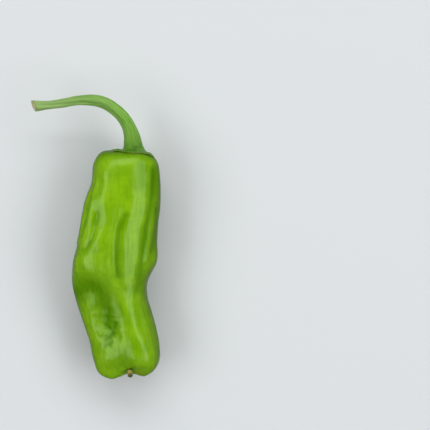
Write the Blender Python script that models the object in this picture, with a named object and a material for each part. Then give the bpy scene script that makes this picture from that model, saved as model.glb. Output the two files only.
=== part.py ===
"""A shishito pepper as picked, lying on its belly: the crumpled pod, its stem grown in one with the
calyx that caps the shoulder, and the dried style left in the dimple of the blossom end.

The pepper lies along Y with its stem towards +Y. X runs across it and Z up. The origin is the middle
of the flat spot that the belly rests on. Sizes are in millimetres until a mesh is made.
"""

import math

import bmesh
import bpy
import numpy as np

MM = 0.001  # metres in a millimetre

# Driving sizes
POD_WIDTH = 27.3
POD_LENGTH = 73.0
POD_DEPTH = 23.6
STEM_THICKNESS = 4.0
CALYX_WIDTH = 13.4
CALYX_DEPTH = 12.6
CALYX_THICKNESS = 0.8
STYLE_THICKNESS = 1.9

# The size that the stations and folds below are drawn at; the driving sizes stretch them
DRAWN_POD = (27.3, 73.0, 23.6)

# Gap between two pieces that touch
SEAT_GAP = 0.3

# Fineness of the meshes
POD_AROUND, POD_ROWS = 88, 60
CROWN_CROWDING = 0.4  # how much closer the pod's columns stand on its crown
STEM_AROUND = 30
STYLE_AROUND, STYLE_ROWS = 10, 9

# Stations along the pod, from the stem to the blossom end. Each has the left edge (x, y), the right
# edge (x, y), the crown (x, y, z) and the belly (y, z) of one ring round the pod, and how square the
# ring is left and right of its crown: 2 is an ellipse, and less makes the crown a sharper ridge.
POD_STATIONS = (
    (5.2, 34.4, 5.2, 34.4, 5.2, 34.4, 12.2, 34.4, 12.2, 2.25, 2.25),
    (2.0, 34.8, 8.4, 34.2, 5.1, 34.5, 15.4, 34.5, 9.0, 2.25, 2.25),
    (-1.8, 35.1, 11.0, 33.5, 4.5, 34.1, 18.2, 34.1, 6.4, 2.25, 2.25),
    (-5.3, 34.2, 12.7, 31.9, 3.4, 32.5, 20.3, 32.5, 4.2, 2.25, 2.25),
    (-7.5, 30.6, 13.5, 29.2, 2.2, 29.0, 21.5, 29.4, 2.2, 2.25, 2.25),
    (-8.2, 25.0, 13.9, 23.6, 1.0, 23.2, 22.2, 23.6, 1.0, 2.25, 2.25),
    (-10.2, 18.6, 13.8, 18.0, -0.1, 17.6, 22.6, 17.6, 0.2, 2.2, 2.25),
    (-11.7, 11.4, 13.2, 11.4, -1.0, 11.0, 23.0, 11.2, -0.3, 2.3, 2.25),
    (-12.8, 5.0, 12.9, 5.6, -1.4, 5.0, 23.2, 5.0, -0.6, 2.6, 2.25),
    (-14.2, -1.4, 12.7, -0.6, -1.2, -0.8, 22.6, -1.2, -0.6, 2.8, 2.15),
    (-14.4, -7.2, 9.7, -6.6, 0.4, -6.6, 21.2, -7.0, -0.5, 2.8, 1.9),
    (-13.3, -12.8, 9.6, -12.6, 2.5, -12.4, 19.9, -12.8, -0.1, 2.5, 1.6),
    (-11.3, -19.2, 11.6, -18.8, 4.7, -18.2, 19.7, -19.0, 0.4, 2.35, 1.45),
    (-9.1, -25.8, 13.3, -25.6, 6.5, -24.2, 19.8, -25.8, 0.8, 2.3, 1.4),
    (-7.6, -32.2, 13.7, -31.4, 8.0, -29.4, 19.3, -31.4, 2.2, 2.25, 1.5),
    (-5.6, -36.2, 12.2, -35.0, 8.0, -32.6, 18.3, -35.0, 5.0, 2.25, 1.8),
    (-2.2, -38.1, 9.1, -36.9, 6.6, -34.1, 16.9, -36.4, 8.6, 2.25, 2.1),
    (1.2, -37.1, 6.9, -36.3, 4.9, -34.6, 15.8, -36.4, 11.2, 2.25, 2.25),
    (2.6, -35.8, 5.7, -35.5, 4.2, -34.6, 15.2, -36.0, 13.0, 2.25, 2.25),
    (4.1, -34.9, 4.1, -34.9, 4.1, -34.9, 14.6, -34.9, 14.6, 2.25, 2.25),
)

# How square the rings are on the belly
BELLY_SQUARENESS = 2.25

# Folds in the pod's wall, each as its height (a hollow is negative), its half width and the route
# that it takes, seen from above
CROWN_FOLDS = (
    # the keel that runs down to the right lobe
    (
        0.4,
        1.15,
        (
            (0.3, 16.0), (-0.7, 11.8), (-1.4, 8.3), (-1.5, 3.2), (-1.45, -0.6), (-0.9, -4.8), (0.3, -7.9),
            (2.2, -10.8), (3.2, -15.0), (5.1, -20.2), (6.7, -24.6), (7.9, -27.4), (8.6, -29.6),
        ),
    ),
    # the furrow right of the keel, and the edge of the broad facet beside it
    (
        -0.3,
        1.2,
        ((3.4, 15.0), (1.9, 12.0), (0.9, 9.0), (0.5, 6.0), (0.4, 1.0), (0.5, -3.2), (0.8, -5.6)),
    ),
    (
        0.3,
        1.4,
        (
            (6.0, 20.0), (4.8, 15.0), (3.5, 11.5), (2.7, 8.0), (2.5, 4.0), (2.4, 0.0), (2.5, -4.0),
            (2.7, -7.0),
        ),
    ),
    # the fan of folds on the left flank
    (-0.3, 1.15, ((-6.4, 15.0), (-7.0, 11.4), (-7.4, 8.3), (-9.0, 4.8), (-10.4, 3.2), (-11.8, 2.0))),
    (0.35, 1.15, ((-2.0, 13.6), (-2.6, 11.6), (-4.2, 9.0), (-6.4, 6.0), (-8.3, 2.9), (-9.8, 0.4))),
    (0.3, 1.15, ((-7.4, 14.4), (-8.0, 11.2), (-9.2, 7.4), (-11.0, 4.6))),
    (0.3, 1.15, ((-5.8, 24.3), (-7.0, 20.5), (-7.8, 17.3), (-8.6, 14.1), (-9.4, 10.9), (-10.8, 7.0))),
    # the dent below the bend, and the flat side below it
    (-0.45, 3.4, ((-8.6, -9.2), (-5.6, -11.6), (-3.9, -15.0), (-3.0, -20.0))),
    (-0.4, 3.4, ((-7.6, -9.9), (-5.6, -11.6), (-4.6, -13.2))),
    (-1.3, 4.4, ((-4.4, -19.0), (-3.2, -24.0), (-1.6, -29.0))),
    # the blossom end's left lobe, the valley beside it and the right lobe
    (0.4, 3.0, ((-2.4, -31.6), (-1.6, -34.0))),
    (-0.35, 1.9, ((3.0, -30.6), (4.0, -34.8))),
    (0.5, 2.6, ((9.0, -31.4), (9.8, -33.4))),
    # the shoulder of the broad facet, and the furrow and ridge on the right flank
    (0.25, 1.6, ((10.2, 27.4), (10.2, 22.4), (9.4, 15.4), (8.0, 8.3), (7.1, 1.0), (6.2, -5.0))),
    (
        -0.35,
        1.2,
        (
            (11.8, 28.8), (11.7, 22.4), (11.2, 19.2), (10.6, 14.4), (9.4, 9.6), (8.8, 4.8), (8.2, 0.0),
            (7.7, -4.8), (7.2, -9.6),
        ),
    ),
    (0.3, 1.15, ((11.9, 18.4), (11.6, 14.4), (11.2, 10.0), (10.2, 4.0), (9.6, 0.0))),
)
BELLY_FOLDS = (
    # furrows either side of the flat spot, and the ridges beyond them
    (
        -0.6,
        1.7,
        (
            (-1.0, 31.0), (-4.0, 22.0), (-6.6, 12.0), (-8.4, 2.0), (-8.0, -10.0), (-5.0, -22.0),
            (-0.6, -33.0),
        ),
    ),
    (-0.6, 1.7, ((8.6, 30.0), (9.4, 20.0), (8.6, 8.0), (7.0, -4.0), (7.2, -16.0), (8.4, -27.0))),
    (0.45, 1.6, ((-4.6, 27.0), (-8.0, 14.0), (-11.0, 2.0), (-10.4, -10.0), (-7.4, -22.0))),
    (0.4, 1.6, ((12.0, 24.0), (11.6, 10.0), (10.0, -2.0), (9.6, -14.0), (11.0, -26.0))),
    # a dent near the blossom end, and the dip under the shoulder
    (-0.6, 2.8, ((1.6, -22.0), (3.0, -27.0))),
    (-0.4, 2.6, ((4.0, 28.0), (4.8, 31.0))),
)

# The stem's line from inside the calyx to its cut end, with its radius over half STEM_THICKNESS
STEM_LINE = (
    (5.3, 34.8, 12.2, 1.62),
    (5.0, 37.0, 12.3, 1.48),
    (4.8, 39.2, 12.5, 1.27),
    (4.0, 42.1, 12.9, 1.04),
    (2.8, 44.5, 13.3, 0.98),
    (1.2, 46.6, 13.7, 0.96),
    (-0.8, 48.4, 14.0, 0.94),
    (-3.1, 49.8, 14.3, 0.92),
    (-5.7, 50.7, 14.5, 0.87),
    (-8.5, 51.0, 14.6, 0.8),
    (-11.6, 50.9, 14.6, 0.74),
    (-14.8, 50.4, 14.5, 0.68),
    (-18.0, 49.9, 14.3, 0.63),
    (-21.2, 49.5, 14.1, 0.61),
    (-23.6, 49.35, 13.9, 0.68),
    (-25.3, 49.3, 13.8, 0.8),
    (-26.5, 49.3, 13.7, 0.83),
)
STEM_RIBS = 5
STEM_RIB_DEPTH = 0.06  # of the radius
STEM_TWIST = math.radians(80)  # over the stem's length
STEM_STEP = 1.1  # between two rings
FLARE_RISE = 3.2  # height of the trumpet where the stem leaves the calyx
FLARE_FOOT = 4.4  # radius of its foot
FLARE_ROWS = 5
CUT_HOLLOW = 0.35  # how far the pith has sunk in the cut end

CALYX_SHIFT = 0.1  # how much further the calyx reaches over the left shoulder
CALYX_TEETH = 6
TOOTH_LENGTH = 0.9
FIRST_TOOTH = math.radians(20)
RIM_THICKNESS = 0.5

# The dried style: where it leaves the pod's blossom end, where its tip is, and its waist
STYLE_ROOT = (4.2, -34.85, 15.2)
STYLE_TIP = (4.4, -37.2, 15.9)
STYLE_WAIST = 0.7  # of its thickness


def smooth_curve(stations, at):
    """Points of a smooth curve through the stations, at fractional station numbers."""
    stations = np.asarray(stations, float)
    slopes = np.gradient(stations, axis=0)
    low = np.clip(np.floor(at).astype(int), 0, len(stations) - 2)
    s = (at - low)[:, None]
    return (
        (2 * s**3 - 3 * s**2 + 1) * stations[low]
        + (s**3 - 2 * s**2 + s) * slopes[low]
        + (3 * s**2 - 2 * s**3) * stations[low + 1]
        + (s**3 - s**2) * slopes[low + 1]
    )


def run_of(stations):
    """The length run at each station of a row of stations."""
    steps = np.linalg.norm(np.diff(np.asarray(stations, float), axis=0), axis=1)
    return np.concatenate([[0], np.cumsum(steps)])


def evenly(stations, share):
    """The fractional station numbers that divide a row of stations into even runs."""
    run = run_of(stations)
    return np.interp(share, run / run[-1], np.arange(len(run)))


def smooth_step(low, high, value):
    """A ramp from 0 at low to 1 at high, level at both ends."""
    t = np.clip((value - low) / (high - low), 0, 1)
    return t * t * (3 - 2 * t)


def rounded(wave, squareness):
    """A cosine or sine made squarer, as the pod's rings are."""
    return np.sign(wave) * np.abs(wave) ** (2 / squareness)


def distance_from(route, points):
    """How far each point is from a smooth route, seen from above."""
    legs = 5 * (len(route) - 1)
    path = smooth_curve(route, np.linspace(0, len(route) - 1, legs + 1))
    nearest = np.full(len(points), np.inf)
    for start, end in zip(path[:-1], path[1:]):
        leg = end - start
        along = np.clip((points - start) @ leg / (leg @ leg), 0, 1)
        off = points - start - along[:, None] * leg
        nearest = np.minimum(nearest, np.linalg.norm(off, axis=1))
    return nearest


def folded(folds, points):
    """The height that a set of folds adds at each point, seen from above."""
    height = np.zeros(len(points))
    for rise, half_width, route in folds:
        height += rise * np.exp(-((distance_from(route, points) / half_width) ** 2))
    return height


def pod_form(share, angle):
    """The pod without its folds. Share runs from the stem to the blossom end, and angle goes round
    from the right edge over the crown."""
    rows = smooth_curve(POD_STATIONS, evenly(POD_STATIONS, share))
    left_x, left_y, right_x, right_y, crown_x, crown_y, crown_z, belly_y, belly_z = rows.T[:9]
    on_right, on_crown = np.cos(angle) > 0, np.sin(angle) > 0
    square = np.where(on_crown, np.where(on_right, rows[:, 10], rows[:, 9]), BELLY_SQUARENESS)
    across, up = rounded(np.cos(angle), square), rounded(np.sin(angle), square)
    edge_y = np.where(on_right, right_y, left_y)
    ridge_y = np.where(on_crown, crown_y, belly_y)
    middle = (left_x + right_x) / 2
    lean = np.where(on_crown, (crown_x - middle) * np.sin(angle) ** 2, 0)
    x = middle + across * (right_x - left_x) / 2 + lean
    y = ridge_y + (edge_y - ridge_y) * np.cos(angle) ** 2
    z = (crown_z + belly_z) / 2 + up * (crown_z - belly_z) / 2
    return np.column_stack([x, y, z])


def outward(surface, share, angle):
    """Normals of a closed surface, from its slopes along and around it."""
    step = 2e-3
    share = np.clip(share, 2 * step, 1 - 2 * step)
    along = surface(share + step, angle) - surface(share - step, angle)
    around = surface(share, angle + step) - surface(share, angle - step)
    normal = np.cross(around, along)
    return normal / np.linalg.norm(normal, axis=1)[:, None]


def pod_skin(share, angle):
    """The pod with its folds, lying on the surface under it, at its driving sizes."""
    points = pod_form(share, angle)
    up = rounded(np.sin(angle), BELLY_SQUARENESS)
    height = folded(CROWN_FOLDS, points[:, :2]) * smooth_step(-0.2, 0.3, up)
    height += folded(BELLY_FOLDS, points[:, :2]) * smooth_step(-0.2, 0.3, -up)
    height *= smooth_step(0, 0.05, share) * smooth_step(1, 0.96, share)
    points = points + outward(pod_form, share, angle) * height[:, None]
    points[:, 2] = np.maximum(points[:, 2], 0)
    return points * (np.array([POD_WIDTH, POD_LENGTH, POD_DEPTH]) / DRAWN_POD)


def closed_skin(name, rings, first, last, material):
    """A solid whose skin runs through rings of points, from the first pole to the last. It starts as
    a sphere, whose rows of vertices are moved onto the rings."""
    around, rows = len(rings[0]), len(rings) + 1
    skin = bmesh.new()
    bmesh.ops.create_uvsphere(skin, u_segments=around, v_segments=rows, radius=1)
    for vertex in skin.verts:
        row = round(math.acos(max(-1.0, min(1.0, vertex.co.z))) / math.pi * rows)
        column = round(math.atan2(vertex.co.y, vertex.co.x) / math.tau * around) % around
        if row == 0:
            place = first
        elif row == rows:
            place = last
        else:
            place = rings[row - 1][column]
        vertex.co = [float(value) * MM for value in place]
    skin.normal_update()
    bmesh.ops.recalc_face_normals(skin, faces=skin.faces)
    mesh = bpy.data.meshes.new(name)
    skin.to_mesh(mesh)
    skin.free()
    mesh.shade_smooth()
    mesh.materials.append(material)
    return bpy.data.objects.new(name, mesh)


def plain_material(name, colour, roughness):
    """A Principled material of one colour."""
    material = bpy.data.materials.new(name)
    material.use_nodes = True
    shader = material.node_tree.nodes["Principled BSDF"]
    shader.inputs["Base Color"].default_value = (*colour, 1)
    shader.inputs["Roughness"].default_value = roughness
    return material


def angles(count):
    """Even angles round a ring."""
    return np.arange(count) * math.tau / count


def make_pod():
    """The pod: a thin-walled, crumpled fruit, closed and without its inside."""
    angle = angles(POD_AROUND)
    angle += CROWN_CROWDING * np.cos(angle)
    rings = [pod_skin(np.full(POD_AROUND, row / POD_ROWS), angle) for row in range(1, POD_ROWS)]
    first, last = pod_skin(np.array([0.0, 1.0]), np.zeros(2))
    return closed_skin("pod", rings, first, last, plain_material("pod_skin", (0.2, 0.42, 0.01), 0.3))


def stem_frames(line):
    """Two directions across the stem at each point of its line, carried along without twisting."""
    ahead = np.gradient(line, axis=0)
    ahead /= np.linalg.norm(ahead, axis=1)[:, None]
    side = np.array([1.0, 0.0, 0.0])
    sides = []
    for direction in ahead:
        side = side - direction * (side @ direction)
        side /= np.linalg.norm(side)
        sides.append(side)
    sides = np.array(sides)
    return sides, np.cross(sides, ahead)


def stem_rings(angle):
    """The ribbed, slightly twisted rings of the stem, from the calyx to the cut."""
    stations = np.array(STEM_LINE)
    count = math.ceil(run_of(stations[:, :3])[-1] / STEM_STEP)
    share = np.linspace(0, 1, count + 1)
    rows = smooth_curve(stations, evenly(stations[:, :3], share))
    line, radius = rows[:, :3], rows[:, 3] * STEM_THICKNESS / 2
    sides, ups = stem_frames(line)
    rings = []
    for place, side, up, size, along in zip(line, sides, ups, radius, share):
        ribs = 1 + STEM_RIB_DEPTH * np.cos(STEM_RIBS * (angle + along * STEM_TWIST))
        spoke = np.outer(np.cos(angle), side) + np.outer(np.sin(angle), up)
        rings.append(place + spoke * (size * ribs)[:, None])
    return rings, line


def calyx_reach(angle):
    """How far the calyx reaches over the pod at each angle: small blunt teeth on an oval rim."""
    oval = (CALYX_WIDTH * np.cos(angle) ** 2 + CALYX_DEPTH * np.sin(angle) ** 2) / 2
    tooth = ((1 + np.cos(CALYX_TEETH * (angle - FIRST_TOOTH))) / 2) ** 6
    return oval - CALYX_SHIFT * np.cos(angle) + TOOTH_LENGTH * tooth


def over_pod(distance, height, angle):
    """Points at a distance from the stem's root along the pod's skin, and a height above it."""
    trial = np.linspace(0, 0.2, 41)
    share = []
    for run, direction in zip(distance, angle):
        share.append(np.interp(run, run_of(pod_skin(trial, np.full(41, direction))), trial))
    share = np.array(share)
    return pod_skin(share, angle) + outward(pod_skin, share, angle) * height


def calyx_rings(angle):
    """The calyx's rings: out along its underside, round the rim and back to the stem's foot."""
    reach = calyx_reach(angle)
    rings = [over_pod(reach * part, SEAT_GAP, angle) for part in (0.25, 0.5, 0.75, 0.95)]
    rings.append(over_pod(reach, SEAT_GAP + RIM_THICKNESS * 0.45, angle))
    for part in (0.96, 0.88, 0.78):
        thickness = RIM_THICKNESS + (CALYX_THICKNESS - RIM_THICKNESS) * (1 - part) / 0.4
        rings.append(over_pod(reach * part, SEAT_GAP + thickness, angle))
    rings.append(over_pod(np.full(len(angle), FLARE_FOOT), SEAT_GAP + CALYX_THICKNESS, angle))
    return rings


def make_stem():
    """The stem and the calyx, which are one growth."""
    angle = angles(STEM_AROUND)
    calyx, (stem, line) = calyx_rings(angle), stem_rings(angle)
    run = run_of(line)
    clear = int(np.searchsorted(run, FLARE_RISE))
    foot, top = calyx[-1], stem[clear]
    corner = stem[1] + (over_pod(np.full(1, 0.01), SEAT_GAP + CALYX_THICKNESS, np.zeros(1))[0] - line[1])
    flare = []
    for row in range(1, FLARE_ROWS):
        s = row / FLARE_ROWS
        flare.append((1 - s) ** 2 * foot + 2 * s * (1 - s) * corner + s**2 * top)
    end, centre = stem[-1], line[-1]
    ahead = (line[-1] - line[-2]) / np.linalg.norm(line[-1] - line[-2])
    cut = [centre + (end - centre) * 0.86, centre + (end - centre) * 0.5 - ahead * CUT_HOLLOW]
    rings = calyx + flare + stem[clear:] + cut
    root = over_pod(np.zeros(1), SEAT_GAP, np.zeros(1))[0]
    material = plain_material("stem_skin", (0.19, 0.36, 0.06), 0.45)
    return closed_skin("stem_calyx", rings, root, centre - ahead * CUT_HOLLOW, material)


def make_style():
    """The dried style: a short stub, thick at both ends."""
    angle = angles(STYLE_AROUND)
    stretch = np.array([POD_WIDTH, POD_LENGTH, POD_DEPTH]) / DRAWN_POD
    root, tip = np.array(STYLE_ROOT) * stretch, np.array(STYLE_TIP) * stretch
    root = root + (tip - root) / np.linalg.norm(tip - root) * SEAT_GAP
    side = np.array([1.0, 0.0, 0.0])
    up = np.cross(side, (tip - root) / np.linalg.norm(tip - root))
    rings = []
    for row in range(1, STYLE_ROWS):
        share = row / STYLE_ROWS
        round_end = math.sqrt(1 - (2 * share - 1) ** 4)
        waist = 1 - (1 - STYLE_WAIST) * math.sin(math.pi * share) ** 2
        radius = STYLE_THICKNESS / 2 * round_end * waist
        spoke = np.outer(np.cos(angle), side) + np.outer(np.sin(angle), up)
        rings.append(root + (tip - root) * share + spoke * radius)
    material = plain_material("dried_tissue", (0.12, 0.1, 0.02), 0.8)
    return closed_skin("dried_style", rings, root, tip, material)


def main():
    for old in list(bpy.data.objects):
        bpy.data.objects.remove(old)
    pepper = bpy.data.collections.new("shishito_pepper")
    bpy.context.scene.collection.children.link(pepper)
    for piece in (make_pod(), make_stem(), make_style()):
        pepper.objects.link(piece)


main()
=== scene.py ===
import math

import bmesh
import bpy
import numpy as np
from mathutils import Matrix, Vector


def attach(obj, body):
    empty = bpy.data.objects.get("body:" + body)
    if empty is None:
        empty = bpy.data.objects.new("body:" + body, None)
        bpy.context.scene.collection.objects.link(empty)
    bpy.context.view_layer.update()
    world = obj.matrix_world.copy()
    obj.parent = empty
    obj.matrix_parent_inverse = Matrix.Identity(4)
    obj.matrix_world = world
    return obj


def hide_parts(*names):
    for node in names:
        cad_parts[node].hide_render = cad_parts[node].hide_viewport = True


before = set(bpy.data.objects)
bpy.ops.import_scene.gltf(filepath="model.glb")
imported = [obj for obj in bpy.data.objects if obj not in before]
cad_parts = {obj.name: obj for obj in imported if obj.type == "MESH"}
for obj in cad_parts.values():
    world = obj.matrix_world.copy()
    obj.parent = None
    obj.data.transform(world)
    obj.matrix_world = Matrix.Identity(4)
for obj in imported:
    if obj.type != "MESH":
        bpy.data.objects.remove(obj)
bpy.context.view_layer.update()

mm = 0.001  # metres in a millimetre
tau = math.tau


# Helpers

def linear(hexColour):  # an sRGB hex value as linear red, green, blue and alpha
    channels = [int(hexColour[i:i + 2], 16) / 255 for i in (1, 3, 5)]
    return (*[c / 12.92 if c < 0.04045 else ((c + 0.055) / 1.055) ** 2.4 for c in channels], 1)


def addNode(tree, kind, settings=None, inputs=None):  # a node with its settings, values and links
    node = tree.nodes.new(kind)
    for setting, value in (settings or {}).items():
        setattr(node, setting, value)
    for socket, value in (inputs or {}).items():
        if isinstance(value, bpy.types.NodeSocket):
            tree.links.new(value, node.inputs[socket])
        else:
            node.inputs[socket].default_value = value
    return node


def newTree(name, sizes):  # a Geometry Nodes tree whose inputs are the given sizes
    tree = bpy.data.node_groups.new(name, "GeometryNodeTree")
    tree.interface.new_socket("Geometry", in_out="INPUT", socket_type="NodeSocketGeometry")
    for size, value in sizes.items():
        kind = "NodeSocketInt" if isinstance(value, int) else "NodeSocketFloat"
        tree.interface.new_socket(size, in_out="INPUT", socket_type=kind)
    tree.interface.new_socket("Geometry", in_out="OUTPUT", socket_type="NodeSocketGeometry")
    return tree, addNode(tree, "NodeGroupInput").outputs


def endTree(tree, geometry, material):  # realise, smooth, give the material and put out
    real = addNode(tree, "GeometryNodeRealizeInstances", {}, {"Geometry": geometry}).outputs[0]
    smooth = addNode(tree, "GeometryNodeSetShadeSmooth", {}, {"Geometry": real}).outputs[0]
    done = addNode(tree, "GeometryNodeSetMaterial", {}, {
        "Geometry": smooth, "Material": material}).outputs[0]
    addNode(tree, "NodeGroupOutput", {}, {"Geometry": done})


# noise from about -1 to 1, of a given width; Blender's own lies mostly between 0.25 and 0.75
def signedNoise(tree, place, seed, width, detail, roughness):
    scale = addNode(tree, "ShaderNodeMath", {"operation": "DIVIDE"}, {0: 1.0, 1: width}).outputs[0]
    noise = addNode(tree, "ShaderNodeTexNoise", {"noise_dimensions": "4D"}, {
        "Vector": place, "W": seed, "Scale": scale,
        "Detail": detail, "Roughness": roughness}).outputs[0]
    return addNode(tree, "ShaderNodeMapRange", {"clamp": False}, {
        "Value": noise, "From Min": 0.25, "From Max": 0.75,
        "To Min": -1.0, "To Max": 1.0}).outputs[0]


def raiseSkin(tree, geometry, height):  # push the skin out along its normals
    normal = addNode(tree, "GeometryNodeInputNormal").outputs[0]
    push = addNode(tree, "ShaderNodeVectorMath", {"operation": "SCALE"}, {
        0: normal, "Scale": height}).outputs[0]
    return addNode(tree, "GeometryNodeSetPosition", {}, {
        "Geometry": geometry, "Offset": push}).outputs[0]


def runTree(piece, tree, sizes):  # run the tree on the piece and keep the result as a plain mesh
    modifier = piece.modifiers.new(tree.name, "NODES")
    modifier.node_group = tree
    inputs = [item for item in tree.interface.items_tree if item.in_out == "INPUT"]
    sockets = {item.name: item.identifier for item in inputs}
    for size, value in sizes.items():
        modifier[sockets[size]] = value
    evaluated = piece.evaluated_get(bpy.context.evaluated_depsgraph_get())
    mesh = bpy.data.meshes.new_from_object(evaluated)
    piece.modifiers.clear()
    piece.data = mesh
    return piece


def smoothCurve(stations, at):  # points at fractional station numbers of a smooth curve
    stations = np.asarray(stations, float)
    slopes = np.gradient(stations, axis=0)
    low = np.clip(np.floor(at).astype(int), 0, len(stations) - 2)
    s = (at - low)[:, None]
    return (
        (2 * s**3 - 3 * s**2 + 1) * stations[low]
        + (s**3 - 2 * s**2 + s) * slopes[low]
        + (3 * s**2 - 2 * s**3) * stations[low + 1]
        + (s**3 - s**2) * slopes[low + 1]
    )


def runOf(stations):  # the length run at each station
    steps = np.linalg.norm(np.diff(np.asarray(stations, float), axis=0), axis=1)
    return np.concatenate([[0], np.cumsum(steps)])


def evenly(stations, share):  # the station numbers that divide the whole into even runs
    run = runOf(stations)
    return np.interp(share, run / run[-1], np.arange(len(run)))


def smoothStep(low, high, value):
    t = np.clip((value - low) / (high - low), 0, 1)
    return t * t * (3 - 2 * t)


def closedSkin(name, first, rings, last, **marks):  # a skin through rings of points, from pole to pole
    rows, columns = len(rings) + 1, len(rings[0])
    skin = bmesh.new()
    bmesh.ops.create_uvsphere(skin, u_segments=columns, v_segments=rows, radius=1)
    mesh = bpy.data.meshes.new(name)
    skin.to_mesh(mesh)
    skin.free()
    ball = np.empty(len(mesh.vertices) * 3)
    mesh.vertices.foreach_get("co", ball)
    x, y, z = ball.reshape(-1, 3).T
    row = np.rint(np.arccos(np.clip(z, -1, 1)) / math.pi * rows).astype(int)
    column = np.rint(np.arctan2(y, x) / tau * columns).astype(int) % columns
    column[(row == 0) | (row == rows)] = 0
    spread = [np.tile(first, (1, columns, 1)), np.array(rings), np.tile(last, (1, columns, 1))]
    places = np.concatenate(spread)[row, column]
    mesh.vertices.foreach_set("co", (places * mm).ravel())
    for mark, values in marks.items():  # a value for each row and column, kept on the vertices
        mesh.attributes.new(mark, "FLOAT", "POINT").data.foreach_set("value", values[row, column])
    mesh.update()
    skin = bmesh.new()
    skin.from_mesh(mesh)
    bmesh.ops.recalc_face_normals(skin, faces=skin.faces)
    skin.to_mesh(mesh)
    skin.free()
    piece = bpy.data.objects.new(name, mesh)
    bpy.context.scene.collection.objects.link(piece)
    return piece


def finishPiece(piece, node):
    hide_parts(node)
    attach(piece, "root")
    print(f"{piece.name}: {len(piece.data.polygons)} faces")


# Pod: the crumpled fruit, a smooth form from stations with its folds raised along routes

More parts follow.
